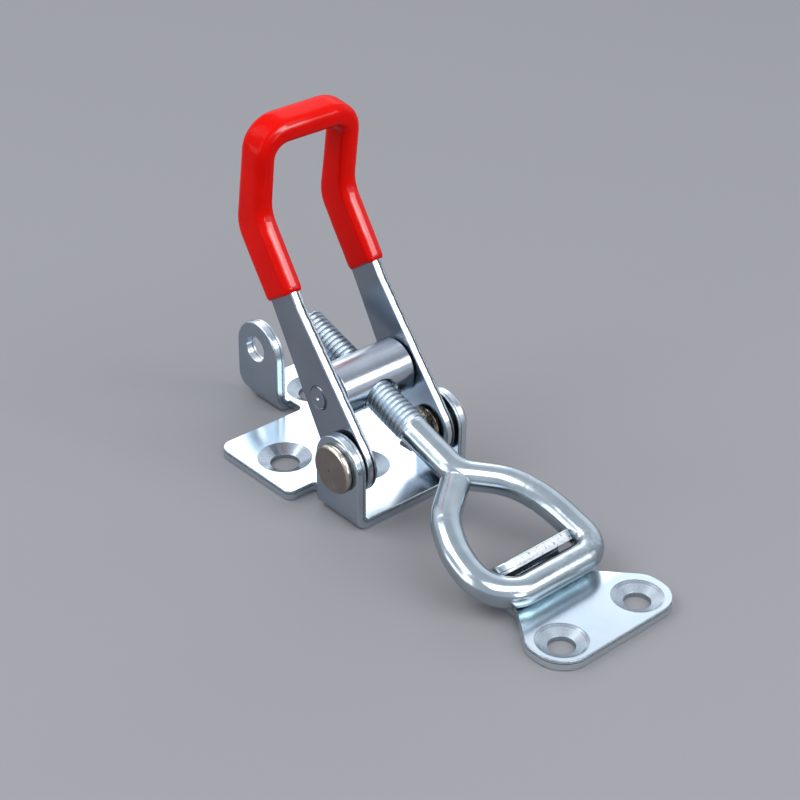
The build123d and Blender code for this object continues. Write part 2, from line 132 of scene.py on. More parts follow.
class Kit:
    """One metal or plastic material with helpers for noise, masks and colour mixing."""

    def __init__(self, name, metallic, specular=0.5):
        self.mat = bpy.data.materials.new(name)
        self.mat.use_nodes = True
        self.tree = self.mat.node_tree
        self.bsdf = self.tree.nodes["Principled BSDF"]
        self.bsdf.inputs["Metallic"].default_value = metallic
        self.bsdf.inputs["Specular IOR Level"].default_value = specular
        sep = self.tree.nodes.new("ShaderNodeSeparateXYZ")
        tex = self.tree.nodes.new("ShaderNodeTexCoord")
        self.object_xyz = tex.outputs["Object"]
        self.tree.links.new(self.object_xyz, sep.inputs[0])
        # millimetres in the part's own frame, so that patterns ride with the piece
        self.x = X(self.tree, sep.outputs[0]) * 1000.0
        self.y = X(self.tree, sep.outputs[1]) * 1000.0
        self.z = X(self.tree, sep.outputs[2]) * 1000.0
        nsep = self.tree.nodes.new("ShaderNodeSeparateXYZ")
        self.tree.links.new(tex.outputs["Normal"], nsep.inputs[0])
        self.nx, self.ny, self.nz = (X(self.tree, nsep.outputs[i]) for i in range(3))
        self.bumps = []

    def noise(self, size, detail=3.0, rough=0.55, stretch=(1, 1, 1), distortion=0.0, turn=(0, 0, 0)):
        """Noise of about that feature size in millimetres, 0 to 1."""
        m = self.tree.nodes.new("ShaderNodeMapping")
        m.inputs["Scale"].default_value = tuple(1000.0 / (size * s) for s in stretch)
        m.inputs["Rotation"].default_value = turn
        self.tree.links.new(self.object_xyz, m.inputs["Vector"])
        n = self.tree.nodes.new("ShaderNodeTexNoise")
        n.inputs["Scale"].default_value = 1.0
        n.inputs["Detail"].default_value = detail
        n.inputs["Roughness"].default_value = rough
        n.inputs["Distortion"].default_value = distortion
        self.tree.links.new(m.outputs[0], n.inputs["Vector"])
        return X(self.tree, n.outputs["Fac"])

    def cells(self, size, stretch=(1, 1, 1)):
        """Distance to scattered points, in cell sizes."""
        m = self.tree.nodes.new("ShaderNodeMapping")
        m.inputs["Scale"].default_value = tuple(1000.0 / (size * s) for s in stretch)
        self.tree.links.new(self.object_xyz, m.inputs["Vector"])
        n = self.tree.nodes.new("ShaderNodeTexVoronoi")
        n.inputs["Scale"].default_value = 1.0
        self.tree.links.new(m.outputs[0], n.inputs["Vector"])
        return X(self.tree, n.outputs["Distance"])

    def attribute(self, name):
        a = self.tree.nodes.new("ShaderNodeAttribute")
        a.attribute_name = name
        return X(self.tree, a.outputs["Fac"])

    def mix(self, fac, a, b):
        """Colour a where fac is 0, b where it is 1. a and b are tuples or colour sockets."""
        n = self.tree.nodes.new("ShaderNodeMix")
        n.data_type = "RGBA"
        self.tree.links.new(fac.sock, n.inputs[0])
        for i, v in ((6, a), (7, b)):
            if isinstance(v, tuple):
                n.inputs[i].default_value = (*v, 1.0)
            else:
                self.tree.links.new(v, n.inputs[i])
        return n.outputs[2]

    def bump(self, height, distance_mm, strength=1.0):
        self.bumps.append((height, distance_mm, strength))

    def finish(self, colour, rough, bevel_mm=0.0):
        if isinstance(colour, tuple):
            self.bsdf.inputs["Base Color"].default_value = (*colour, 1.0)
        else:
            self.tree.links.new(colour, self.bsdf.inputs["Base Color"])
        if isinstance(rough, X):
            self.tree.links.new(rough.sock, self.bsdf.inputs["Roughness"])
        else:
            self.bsdf.inputs["Roughness"].default_value = rough
        last = None
        if bevel_mm:
            b = self.tree.nodes.new("ShaderNodeBevel")
            b.samples = 6
            b.inputs["Radius"].default_value = bevel_mm * MM
            last = b.outputs[0]
        for height, distance, strength in self.bumps:
            n = self.tree.nodes.new("ShaderNodeBump")
            n.inputs["Distance"].default_value = distance * MM
            n.inputs["Strength"].default_value = strength
            self.tree.links.new(height.sock, n.inputs["Height"])
            if last is not None:
                self.tree.links.new(last, n.inputs["Normal"])
            last = n.outputs[0]
        if last is not None:
            self.tree.links.new(last, self.bsdf.inputs["Normal"])
        return self.mat


def wear_marks(k, amount=1.0):
    """Small dark nicks and specks that plated hardware picks up in a bin."""
    specks = k.noise(0.5, 2.0, 0.5).ramp(0.71, 0.76)
    gate = k.noise(7.0, 2.0, 0.5).ramp(0.54, 0.64)
    return (specks * gate * amount).clamp()


def pressed_edge(k, e, ragged_size=0.9):
    """What a sheared edge shows across the sheet: e runs 0 at the rolled side to 1 at the torn side.

    Returns the edge's own mask, the torn strip and the line where the tear starts; callers paint that line dark as
    painted shade in its groove."""
    on_edge = e.ramp(0.02, 0.07) * e.ramp(0.99, 0.95)
    wander = (k.noise(ragged_size, 3.0, 0.6) - 0.5) * 0.16
    level = e + wander
    torn = level.ramp(0.70, 0.76) * on_edge
    line = (level - 0.70).abs().ramp(0.075, 0.02) * on_edge
    return on_edge, torn, line


def plated_sheet(name, depth, holes, sink_r, base, rough, edge):
    """Zinc plated sheet with smooth rolled faces and pressed edges.

    depth(k) gives e across the sheet; holes are (x, y) with countersinks of radius sink_r;
    edge is the colour of the burnished part of an edge."""
    k = Kit(name, 1.0)
    e = depth(k)
    on_edge, torn, line = pressed_edge(k, e)
    in_hole = None
    rim = None
    for hx, hy in holes:
        dx, dy = k.x - hx, k.y - hy
        d = (dx * dx + dy * dy).sqrt()
        inside = d.ramp(sink_r + 0.05, sink_r - 0.05)
        ring = (d - sink_r).abs().ramp(0.13, 0.03)
        in_hole = inside if in_hole is None else in_hole.max(inside)
        rim = ring if rim is None else rim.max(ring)
    low = k.z.under(2.2)
    in_hole, rim = in_hole * low, rim * k.z.under(2.2) * k.z.over(1.7)
    on_edge, torn, line = (m * (1.0 - in_hole) for m in (on_edge, torn, line))
    cloud = k.noise(10.0, 2.0, 0.5)
    fine = k.noise(0.18, 2.0, 0.5)
    streak = k.noise(0.5, 2.0, 0.5, stretch=(7, 1, 1))
    warm = tuple(c * 1.05 for c in base)
    cool = (base[0] * 0.93, base[1] * 0.98, base[2] * 1.02)
    colour = k.mix(cloud.ramp(0.35, 0.65), cool, warm)
    colour = k.mix(on_edge * 0.85, colour, edge)
    speckle = k.noise(0.32, 3.0, 0.6)
    colour = k.mix(torn * speckle.ramp(0.40, 0.62) * 0.55, colour, (0.16, 0.18, 0.20))
    # painted shade: the line where the tear starts is painted near black, as shade in its groove
    colour = k.mix(line * 0.72, colour, (0.06, 0.07, 0.08))
    # the countersinks keep the cutter's fine rings and stay a little duller
    cutter = k.noise(0.20, 1.0, 0.5)
    sink = k.mix(cutter.ramp(0.35, 0.65), (0.36, 0.415, 0.46), (0.46, 0.52, 0.57))
    colour = k.mix(in_hole * 0.9, colour, sink)
    colour = k.mix(rim * 0.35, colour, (0.12, 0.14, 0.16))
    colour = k.mix(wear_marks(k, 0.6), colour, (0.10, 0.10, 0.10))
    r = (cloud - 0.5) * 0.05 + (streak - 0.5) * 0.03 + rough
    r = r + on_edge * 0.04 + torn * 0.14 + in_hole * 0.04
    k.bump(fine, 0.0018, 0.6)
    k.bump(streak, 0.0012, 0.4)
    k.bump(k.noise(6.0, 2.0, 0.5), 0.028, 0.35)
    k.bump(speckle * torn, 0.035, 0.7)
    k.bump(line * -1.0, 0.04, 0.6)
    k.bump(cutter * in_hole, 0.004, 0.5)
    return k, colour, r


def base_depth(k):
    """0 on the underside and the outside of the folds, 1 on top and inside them."""
    near_ears = k.x.over(-5.85)
    near_lug = k.x.under(-34.4) * k.y.over(0.0)
    out = (k.y.abs() - 10.2).max(0.0) * near_ears + (3.8 - k.y).max(0.0) * near_lug
    up = (2.8 - k.z).max(0.0)
    return (2.8 - (out * out + up * up).sqrt()) * 0.5


def strike_depth(k):
    k_ = math.sqrt(0.5)
    u, w = k.x - 35.414, k.z - 3.0
    foot = k.x.over(35.42) * k.z.under(2.05)
    along = (u + w) * k_
    off = (w - u) * k_
    lip = along.over(0.0) * (1.0 - foot)
    bend = (1.0 - foot) * (1.0 - lip)
    return foot * (k.z * 0.5) + lip * ((3.0 - off) * 0.5) + bend * ((3.0 - (u * u + w * w).sqrt()) * 0.5)


ZINC = (0.395, 0.455, 0.51)

# the base bracket
k, colour, r = plated_sheet(
    "zinc_sheet", base_depth, [(-19.4, -9.2), (-35.2, 10.3), (-8.1, 0.0)], 5.05, ZINC, 0.18,
    (0.60, 0.67, 0.725),
)
MAT_BASE = k.finish(colour, r, 0.14)

# the strike plate
k, colour, r = plated_sheet(
    "zinc_strike", strike_depth, [(51.7, -9.0), (51.7, 9.0)], 4.5, (0.272, 0.312, 0.352), 0.22,
    (0.66, 0.72, 0.76),
)
# a painted highlight on the foot's top where it runs out of its fold, standing in for a bright reflection there
painted_fold_highlight = k.x.ramp(46.2, 43.2) * k.z.over(1.9) * k.z.under(2.1) * k.nz.over(0.5)
blotch = k.noise(3.2, 3.0, 0.55)
colour = k.mix(painted_fold_highlight * (blotch.ramp(0.35, 0.65) * 0.30 + 0.65), colour, (0.75, 0.88, 0.925))
# the lip's underside is painted dark: painted shade under the lip
underside = (k.nx * 0.7071 - k.nz * 0.7071).ramp(0.80, 0.95) * k.z.over(3.0)
colour = k.mix(underside * 0.92, colour, (0.055, 0.072, 0.080))
# the lip's tip was sheared and knocked about: bright and pitted
tip = ((k.x - 35.414) + (k.z - 3.0)).ramp(6.95, 7.05) * k.z.over(4.0)
pits = k.noise(0.45, 3.0, 0.65)
colour = k.mix(tip, colour, (0.47, 0.50, 0.53))
colour = k.mix(tip * pits.ramp(0.55, 0.66) * 0.8, colour, (0.10, 0.11, 0.12))
k.bump(pits * tip, 0.10, 0.8)
blunt = pressed_edge(k, strike_depth(k))[0] * k.z.under(1.7)
r = r + tip * 0.16 + blunt * 0.12
MAT_STRIKE = k.finish(colour, r, 0.14)

# the lever: satin strip, its sheared edges burnished with a torn strip along the +Y side
k = Kit("zinc_lever", 1.0)
far = k.y.over(0.0)
e = (10.3 - k.y.abs()) * 0.5 * (1.0 - far) + (k.y.abs() - 8.3) * 0.5 * far
on_edge = k.ny.abs().ramp(0.75, 0.45) * k.z.under(60.0)
wander = (k.noise(1.5, 3.0, 0.6) - 0.5) * 0.20
level = e + wander
torn = level.ramp(0.74, 0.80) * on_edge
line = (level - 0.70).abs().ramp(0.12, 0.06) * on_edge
cloud = k.noise(9.0, 2.0, 0.5)
fine = k.noise(0.18, 2.0, 0.5)
streak = k.noise(0.45, 2.0, 0.5, stretch=(1, 1, 9), turn=(0, math.radians(34), 0))
colour = k.mix(cloud.ramp(0.35, 0.65), (0.272, 0.308, 0.362), (0.300, 0.336, 0.390))
colour = k.mix(on_edge, colour, (0.60, 0.645, 0.69))
speckle = k.noise(0.35, 3.0, 0.6)
# painted shade along the rolled-over side of each sheared edge
rolled_edge_shade = e.ramp(0.20, 0.02) * on_edge
colour = k.mix(rolled_edge_shade * 0.86, colour, (0.10, 0.145, 0.19))
colour = k.mix(torn * (speckle.ramp(0.40, 0.62) * 0.20 + 0.78), colour, (0.19, 0.235, 0.28))
# painted shade: a near-black line along the groove where the tear starts
colour = k.mix(line * 0.97, colour, (0.016, 0.019, 0.023))
# painted shade: a dark arc on the arm faces round the barrel's journal, on its upper front side
dj = (((k.x + 8.01) * (k.x + 8.01)) + ((k.z - 20.52) * (k.z - 20.52))).sqrt()
toward = ((k.x + 8.01) * 0.84 + (k.z - 20.52) * 0.54).ramp(-0.9, 0.7)
gap = dj.ramp(2.42, 2.30) * k.ny.abs().over(0.9) * toward
colour = k.mix(gap * 0.9, colour, (0.02, 0.02, 0.025))
colour = k.mix(wear_marks(k, 0.5), colour, (0.08, 0.08, 0.08))
r = (cloud - 0.5) * 0.04 + 0.25 - on_edge * 0.05 + torn * 0.14
k.bump(fine, 0.002, 0.6)
k.bump(streak, 0.0014, 0.4)
k.bump(k.noise(6.0, 2.0, 0.5), 0.022, 0.35)
k.bump(speckle * torn, 0.05, 0.7)
k.bump(line * -1.0, 0.07, 0.8)
MAT_LEVER = k.finish(colour, r, 0.16)

# the dipped grip: glossy where it was drawn thin over the strip's front, duller on the sides
k = Kit("red_vinyl", 0.0, 0.10)
broad = k.noise(9.0, 2.0, 0.5)
mid = k.noise(2.6, 2.0, 0.5)
colour = k.mix(broad.ramp(0.3, 0.7), (0.48, 0.0022, 0.0008), (0.53, 0.0034, 0.0013))
# painted sheen: upward faces are painted a paler red
top = k.nz.ramp(0.35, 0.9)
colour = k.mix(top * 0.9, colour, (0.52, 0.0055, 0.0035))
dust = k.noise(0.30, 1.0, 0.5).ramp(0.79, 0.82) * k.noise(6.0, 1.0, 0.5).over(0.55)
colour = k.mix(dust * 0.35, colour, (0.75, 0.16, 0.13))
bar = k.z.ramp(59.0, 61.5)
facing = (k.nx * 0.828 + k.nz * 0.560).ramp(0.90, 0.99) * (1.0 - bar * k.y.ramp(-4.5, 0.5) * 0.85)
shine = facing * 0.60 + 0.075 - top * (1.0 - facing) * 0.060
k.tree.links.new(shine.sock, k.bsdf.inputs["Specular IOR Level"])
r = (mid - 0.5) * 0.04 + 0.10
k.bump(broad, 0.16, 0.5)
k.bump(mid, 0.030, 0.4)
k.bump(dust, 0.03, 0.5)
MAT_GRIP = k.finish(colour, r)

# the pivot rivets: bronze grey heads, their rims painted lighter on the upper front side as a painted highlight
k = Kit("rivet_steel", 1.0)
dz = k.z - 11.0
rad = ((k.x * k.x) + (dz * dz)).sqrt()
outer = k.y.abs().over(13.2)
head = k.ny.abs().ramp(0.93, 0.985).max(rad.under(2.0)) * outer
cloud = k.noise(2.6, 3.0, 0.55)
fine = k.noise(0.16, 2.0, 0.5)
face = k.mix(cloud.ramp(0.35, 0.7), (0.265, 0.228, 0.205), (0.315, 0.278, 0.247))
# painted highlight: the rim is painted lighter where it faces up and forward
lit_rim = k.mix((k.nz * 0.8 + k.nx * 0.6).ramp(0.0, 0.6), (0.30, 0.262, 0.225), (0.62, 0.56, 0.48))
colour = k.mix(head, lit_rim, face)
# painted shade at the head's centre, damping the glint at the mesh's pole
colour = k.mix(head * rad.ramp(0.45, 0.2), colour, (0.10, 0.085, 0.075))
# painted shade in the narrow gap under the head
under = k.y.abs().ramp(13.16, 13.10) * k.y.abs().over(12.98)
colour = k.mix(under * 0.8, colour, (0.04, 0.04, 0.04))
tail = k.y.abs().under(8.05)
peen = k.noise(0.55, 2.0, 0.5)
worked = k.mix(peen.ramp(0.4, 0.6), (0.44, 0.37, 0.29), (0.14, 0.12, 0.10))
colour = k.mix(tail, colour, worked)
# painted shade: the tail's side wall is painted near black, standing in for the shadow in the gap beside the arm
tail_wall_shade = tail * k.ny.abs().under(0.4) * rad.over(3.5)
colour = k.mix(tail_wall_shade * k.y.abs().ramp(7.6, 7.75) * 0.9, colour, (0.02, 0.02, 0.02))
r = (cloud - 0.5) * 0.08 + 0.26 - (1.0 - head) * 0.08
k.bump(fine, 0.002, 0.5)
k.bump(cloud, 0.03, 0.3)
k.bump(peen * tail, 0.10, 0.8)
MAT_RIVET = k.finish(colour, r, 0.10)

# the turned barrel: fine lathe rings round Y
k = Kit("zinc_turned", 1.0)
dx, dz = k.x + 8.01, k.z - 20.52
rings = k.noise(0.25, 2.0, 0.5, stretch=(40, 1, 40))
fine = k.noise(0.20, 3.0, 0.6)
cloud = k.noise(4.0, 2.0, 0.5)
end = k.ny.abs().over(0.9)
rad = (dx * dx + dz * dz).sqrt()
colour = k.mix(cloud.ramp(0.3, 0.7), (0.45, 0.495, 0.555), (0.50, 0.545, 0.60))
# painted reflection: downward-facing parts are painted a lighter teal
colour = k.mix(k.nz.ramp(0.1, -0.5) * 0.8, colour, (0.44, 0.58, 0.66))
colour = k.mix(end * k.y.abs().over(10.2), colour, (0.30, 0.335, 0.385))
# painted shade: a dark arc round a journal's end, on its upper front half, standing in for the gap's shadow
rim = (rad - 2.02).abs().ramp(0.20, 0.08) * k.y.abs().over(10.0) * (dx * 0.75 + dz * 0.66).ramp(-0.4, 0.6)
colour = k.mix(rim * 0.9, colour, (0.035, 0.04, 0.05))
# painted shade at the journal's centre, damping the glint of its centre-punch dimple
dot = rad.ramp(0.28, 0.14) * k.y.abs().over(10.0)
colour = k.mix(dot * 0.85, colour, (0.10, 0.11, 0.13))
colour = k.mix(wear_marks(k, 0.4), colour, (0.10, 0.10, 0.11))
r = (cloud - 0.5) * 0.04 + 0.15 + end * 0.10 + k.nz.ramp(0.80, 0.98) * 0.15
k.bump(rings, 0.003, 0.35)
k.bump(fine, 0.018, 0.8)
MAT_BARREL = k.finish(colour, r, 0.10)

# the plated wire and thread
k = Kit("zinc_wire", 1.0)
groove = k.attribute("groove")
marked = k.attribute("marked")
fine = k.noise(0.22, 2.0, 0.5)
streak = k.attribute("grain")
cloud = k.noise(4.5, 2.0, 0.5)
mott = k.noise(0.7, 3.0, 0.6)
colour = k.mix(cloud.ramp(0.32, 0.68), (0.395, 0.462, 0.505), (0.455, 0.518, 0.555))
thread = k.attribute("threaded")
colour = k.mix(thread * 0.75, colour, (0.46, 0.545, 0.62))
worked = k.attribute("worked")
colour = k.mix(worked * 0.45, colour, (0.395, 0.447, 0.485))
# painted shade in the thread's grooves
colour = k.mix(groove * 0.36, colour, (0.19, 0.235, 0.275))
# painted shade: the side of the loop's bar under the strike's lip is painted dark, standing in for the lip's shadow
# and its dark reflection
lip_shade_on_bar = (k.nx * -0.80 + k.nz * 0.60).ramp(0.60, 0.88) * k.x.over(36.0) * k.y.abs().ramp(9.4, 7.6) * k.z.ramp(10.5, 8.5)
colour = k.mix(lip_shade_on_bar * 0.86, colour, (0.085, 0.105, 0.115))
colour = k.mix((marked * mott.ramp(0.44, 0.6)) * 0.35, colour, (0.26, 0.28, 0.31))
colour = k.mix(wear_marks(k, 0.6), colour, (0.09, 0.09, 0.09))
r = (cloud - 0.5) * 0.05 + groove * 0.06 + thread * 0.09 + marked * 0.10 + worked * 0.07 + 0.18
k.bump(fine, 0.0022, 0.6)
k.bump(streak, 0.004, 0.5)
k.bump(mott * marked, 0.05, 0.7)
k.bump(mott * (1.0 - thread), 0.016, 0.6)
k.bump(k.noise(2.6, 2.0, 0.5), 0.022, 0.35)
MAT_WIRE = k.finish(colour, r)


def dress(name, material):
    o = nodes[name]
    o.data.materials.clear()
    o.data.materials.append(material)
    return o


dress("base_bracket", MAT_BASE)
dress("strike_plate", MAT_STRIKE)
dress("lever", MAT_LEVER)
dress("grip", MAT_GRIP)
dress("pivot_rivet_left", MAT_RIVET)
dress("pivot_rivet_right", MAT_RIVET)
dress("barrel", MAT_BARREL)


# ------------------------------------------------------------------- hook bolt
def rounded_route(points, radii):
    """Dense points along straight runs joined by tangent arcs."""
    out = []

    def run(a, b, step):
        n = max(1, int(round((b - a).length / step)))
        for i in range(n):
            out.append(a.lerp(b, i / n))

    pts = [Vector(p) for p in points]
    at = pts[0]
    for i in range(1, len(pts) - 1):
        a, b, c = pts[i - 1], pts[i], pts[i + 1]
        d0, d1 = (b - a).normalized(), (c - b).normalized()
        turn = math.atan2(d0.x * d1.y - d0.y * d1.x, d0.dot(d1))
        cut = abs(math.tan(turn / 2)) * radii[i - 1]
        start, stop = b - d0 * cut, b + d1 * cut
        run(at, start, 0.5)
        left = Vector((-d0.y, d0.x)) * (1 if turn > 0 else -1)
        centre = start + left * radii[i - 1]
        n = max(3, int(math.ceil(abs(turn) * radii[i - 1] / 0.45)))
        spoke = start - centre
        for j in range(n):
            t = turn * j / n
            ct, st = math.cos(t), math.sin(t)
            out.append(centre + Vector((spoke.x * ct - spoke.y * st, spoke.x * st + spoke.y * ct)))
        at = stop
    run(at, pts[-1], 0.5)
    out.append(pts[-1])
    return out


def smooth_step(a, b, v):
    t = min(1.0, max(0.0, (v - a) / (b - a)))
    return t * t * (3 - 2 * t)


def thread_radius(u, theta):
    """Radius of the rolled thread, and how deep in the groove the point is."""
    ph = u / PITCH - theta / (2 * math.pi)
    t = abs(ph - round(ph)) * 2
    down = min(1.0, max(0.0, (t - 0.36) / 0.54))
    down = down * down * (3 - 2 * down) * 0.35 + down * 0.65
    run_out = smooth_step(THREAD_FRONT, THREAD_FRONT - 1.5, u) * smooth_step(THREAD_REAR - 0.2, THREAD_REAR + 0.9, u)
    rr = MAJOR_R - (MAJOR_R - ROOT_R) * down - 0.15 * math.exp(-((t / 0.17) ** 2))
    r0 = WIRE_R if u > 0 else ROOT_R
    return r0 + (rr - r0) * run_out, down * run_out


def make_hook():
    around = 64
    stations = []  # (centre in u,y ; tangent ; arc position)
    u = THREAD_REAR
    while u < THREAD_FRONT + 0.3:
        stations.append(Vector((u, 0.0)))
        u += PITCH / 18
    route = rounded_route(
        [
            (THREAD_FRONT + 0.3, 0), (26.0, 0), (31.9, 7.55), (38.6, 10.25),
            (LOOP_BAR_U, 10.8), (LOOP_BAR_U, -13.1), (40.0, -12.7), (33.0, -8.9), (27.2, -1.2),
        ],
        (5.0, 12.0, 22.0, 4.0, 6.8, 18.0, 12.0),
    )
    stations += [p for p in route if (p - stations[-1]).length > 1e-4 and p.x >= stations[-1].x - 1e-6 or len(stations) > 560]
    # drop doubled points
    clean = [stations[0]]
    for p in stations[1:]:
        if (p - clean[-1]).length > 0.02:
            clean.append(p)
    stations = clean
    n = len(stations)
    arc = [0.0]
    for i in range(1, n):
        arc.append(arc[-1] + (stations[i] - stations[i - 1]).length)
    total = arc[-1]
    s_front = THREAD_FRONT - THREAD_REAR
    bm = bmesh.new()
    groove = bm.verts.layers.float.new("groove")
    marked = bm.verts.layers.float.new("marked")
    grain = bm.verts.layers.float.new("grain")
    threaded = bm.verts.layers.float.new("threaded")
    worked = bm.verts.layers.float.new("worked")
    rings = []

    # where tools have left their marks: (arc length, angle round the wire, depth, widths)
    def along_to(u_at, y_at):
        best = min(range(n), key=lambda i: (stations[i] - Vector((u_at, y_at))).length)
        return arc[best]

    s_pinch = along_to(37.6, 9.7)
    s_scratch = along_to(34.2, -9.6)
    s_end = total

    for i, c in enumerate(stations):
        a = stations[max(0, i - 1)]
        b = stations[min(n - 1, i + 1)]
        t2 = (b - a).normalized()
        n2 = Vector((-t2.y, t2.x))
        centre = BARREL_AT + BOLT_DIR * c.x + ACROSS * c.y
        side = BOLT_DIR * n2.x + ACROSS * n2.y  # to the left of the wire, in its plane
        s = arc[i]
        on_thread = s <= s_front
        ring = []
        for j in range(around):
            th = 2 * math.pi * j / around
            # angle from the wire's left towards up
            direction = side * math.cos(th) + BOLT_UP * math.sin(th)
            g = 0.0
            m = 0.0
            dull = 0.0
            if on_thread:
                r, g = thread_radius(c.x, th)
                end_in = c.x - THREAD_REAR
                if end_in < 0.75:
                    r = min(r, 2.2 + end_in)
            else:
                r = WIRE_R
                # a faint swelling where the thread rollers stopped
                r += 0.05 * math.exp(-(((s - s_front - 0.2) / 0.5) ** 2))
                # pinch mark across the +Y branch
                around_top = 0.5 + 0.5 * math.cos(th - math.radians(250))
                r -= 0.16 * math.exp(-(((s - s_pinch) / 0.45) ** 2)) * smooth_step(0.35, 0.9, around_top)
                r -= 0.05 * math.exp(-(((s - s_pinch + 2.2) / 1.8) ** 2)) * smooth_step(0.3, 0.9, around_top)
                m = max(m, 0.9 * math.exp(-(((s - s_pinch + 2.6) / 2.6) ** 2)))
                # small scratch on the -Y branch
                r -= 0.10 * math.exp(-(((s - s_scratch) / 0.3) ** 2) - ((math.sin((th - math.radians(60)) / 2) / 0.22) ** 2))
                # the last stretch, duller where it was gripped to be cut
                last = smooth_step(s_end - 13.0, s_end - 10.0, s)
                dull = last
                # rounded rim of the cut end
                back = s_end - s
                if back < 0.3:
                    r -= 0.3 - math.sqrt(max(0.0, 0.09 - (0.3 - back) ** 2))
                # slow unevenness of drawn and bent wire
                p = centre * 0.35 + direction * 0.6
                r += 0.022 * noise.noise(p)
                r = min(r, WIRE_R + 0.08)
                bar_mark = smooth_step(46.0, 50.5, c.x) * smooth_step(-4.0, 2.0, c.y)
                m = max(m, bar_mark * 0.9)
            v = bm.verts.new((centre + direction * r) * MM)
            v[groove] = g
            v[marked] = m
            v[threaded] = 1.0 if on_thread else 0.0
            v[worked] = dull
            v[grain] = noise.noise(Vector((math.cos(th) * 9.0, math.sin(th) * 9.0, s * 0.06))) * 0.5 + 0.5
            ring.append(v)
        rings.append(ring)
    for i in range(n - 1):
        for j in range(around):
            bm.faces.new((rings[i][j], rings[i][(j + 1) % around], rings[i + 1][(j + 1) % around], rings[i + 1][j]))
    # end faces, in two rings so that they shade flat
    for ring, way in ((rings[0], -1), (rings[-1], 1)):
        centre = sum((v.co for v in ring), Vector()) / around
        inner = []
        for v in ring:
            w = bm.verts.new(v.co.lerp(centre, 0.06))
            w[groove] = 0.0
            w[marked] = 0.5
            w[grain] = 0.5
            inner.append(w)
        for j in range(around):
            f = (ring[j], ring[(j + 1) % around], inner[(j + 1) % around], inner[j])
            bm.faces.new(f if way > 0 else f[::-1])
        mid = bm.verts.new(centre)
        mid[marked] = 0.5
        mid[grain] = 0.5
        for j in range(around):
            f = (inner[j], inner[(j + 1) % around], mid)
            bm.faces.new(f if way > 0 else f[::-1])
    bmesh.ops.recalc_face_normals(bm, faces=bm.faces)
    for f in bm.faces:
        f.smooth = True
    me = bpy.data.meshes.new("hook_bolt_threaded")
    bm.to_mesh(me)
    bm.free()
    o = bpy.data.objects.new("hook_bolt_threaded", me)
    bpy.context.scene.collection.objects.link(o)
    me.materials.append(MAT_WIRE)
    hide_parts("hook_bolt")
    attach(o, "hook")
    return o


hook = make_hook()


# ------------------------------------------------------------------------- grip
LOW_AT, KNEE_AT, BAR_Z = (-18.0, 36.5), (-26.17, 48.6), 65.1
LOW_LEAN, UP_LEAN = math.radians(34.06), math.radians(7.3)
LOW_ON, UP_ON = Vector((-math.sin(LOW_LEAN), math.cos(LOW_LEAN))), Vector((math.sin(UP_LEAN), math.cos(UP_LEAN)))
LOW_OUT, UP_OUT = Vector((LOW_ON.y, -LOW_ON.x)), Vector((UP_ON.y, -UP_ON.x))
BAR_AT = Vector(KNEE_AT) + UP_ON * ((BAR_Z - KNEE_AT[1]) / UP_ON.y)


def crossing(p, a, q, b):
    t = ((q.x - p.x) * b.y - (q.y - p.y) * b.x) / (a.x * b.y - a.y * b.x)
    return p + a * t


def side_line(half_low, half_up, radius, top_v, counts):
    """One outline of an arm seen from the side, from the rim up to where the corner begins."""
    low = Vector(LOW_AT) + LOW_OUT * half_low
    top = BAR_AT + UP_OUT * half_up + UP_ON * top_v
    corner = crossing(low, LOW_ON, top, UP_ON)
    turn = LOW_LEAN + UP_LEAN
    cut = radius * math.tan(turn / 2)
    a, b = corner - LOW_ON * cut, corner + UP_ON * cut
    # the centre of the fillet lies in front of the outline
    centre = a + LOW_OUT * radius
    out = [low.lerp(a, i / counts[0]) for i in range(counts[0])]
    spoke = a - centre
    for i in range(counts[1]):
        t = -turn * i / counts[1]
        ct, st = math.cos(t), math.sin(t)
        out.append(centre + Vector((spoke.x * ct - spoke.y * st, spoke.x * st + spoke.y * ct)))
    out += [b.lerp(top, i / counts[2]) for i in range(counts[2] + 1)]
    return out


def sleeve_stations(half_low, half_up, knee_r, y_out, y_in, bar_half, corner_out, corner_in):
    """Middle, half width vector and half thickness vector of each section, rim to rim."""
    counts = (22, 12, 14)
    co = (y_out - corner_out, bar_half - corner_out)
    ci = (y_in - corner_in, -bar_half - corner_in)
    mid_v = (co[1] + ci[1]) / 2
    front = side_line(half_low, half_up, knee_r, mid_v, counts)
    rear = side_line(-half_low, -half_up, knee_r, mid_v, counts)
    up3 = Vector((UP_ON.x, 0, UP_ON.y))
    out3 = Vector((UP_OUT.x, 0, UP_OUT.y))
    origin = Vector((BAR_AT.x, 0, BAR_AT.y))
    leg = []
    n = len(front)
    for i, (f, b) in enumerate(zip(front, rear)):
        m = (f + b) / 2
        w = (f - b) / 2
        lean = smooth_step(n - 12, n - 1, i) * (co[1] - ci[1]) / 2
        leg.append((Vector((m.x, -(y_out + y_in) / 2, m.y)), Vector((w.x, 0, w.y)), Vector((0, -(y_out - y_in) / 2, 0)) + up3 * lean))
    bend = []
    steps = 12
    for i in range(1, steps + 1):
        t = math.radians(90) * i / steps
        o = (co[0] + corner_out * math.cos(t), co[1] + corner_out * math.sin(t))
        p = (ci[0] + corner_in * math.cos(t), ci[1] + corner_in * math.sin(t))
        m = ((o[0] + p[0]) / 2, (o[1] + p[1]) / 2)
        h = ((o[0] - p[0]) / 2, (o[1] - p[1]) / 2)
        bend.append((origin + up3 * m[1] - ACROSS * m[0], out3 * half_up, up3 * h[1] - ACROSS * h[0]))
    first = leg + bend
    y_bend = (co[0] + ci[0]) / 2
    skew = (co[0] - ci[0]) / 2
    bar = []
    for i in range(1, 16):
        y = -y_bend + 2 * y_bend * i / 16
        bar.append((origin + ACROSS * y, out3 * half_up, up3 * bar_half + ACROSS * (skew * y / y_bend)))
    second = [
        (Vector((m.x, -m.y, m.z)), w, Vector((t.x, -t.y, t.z)))
        for m, w, t in reversed(first)
    ]
    return first + bar + second, len(first), len(bar)


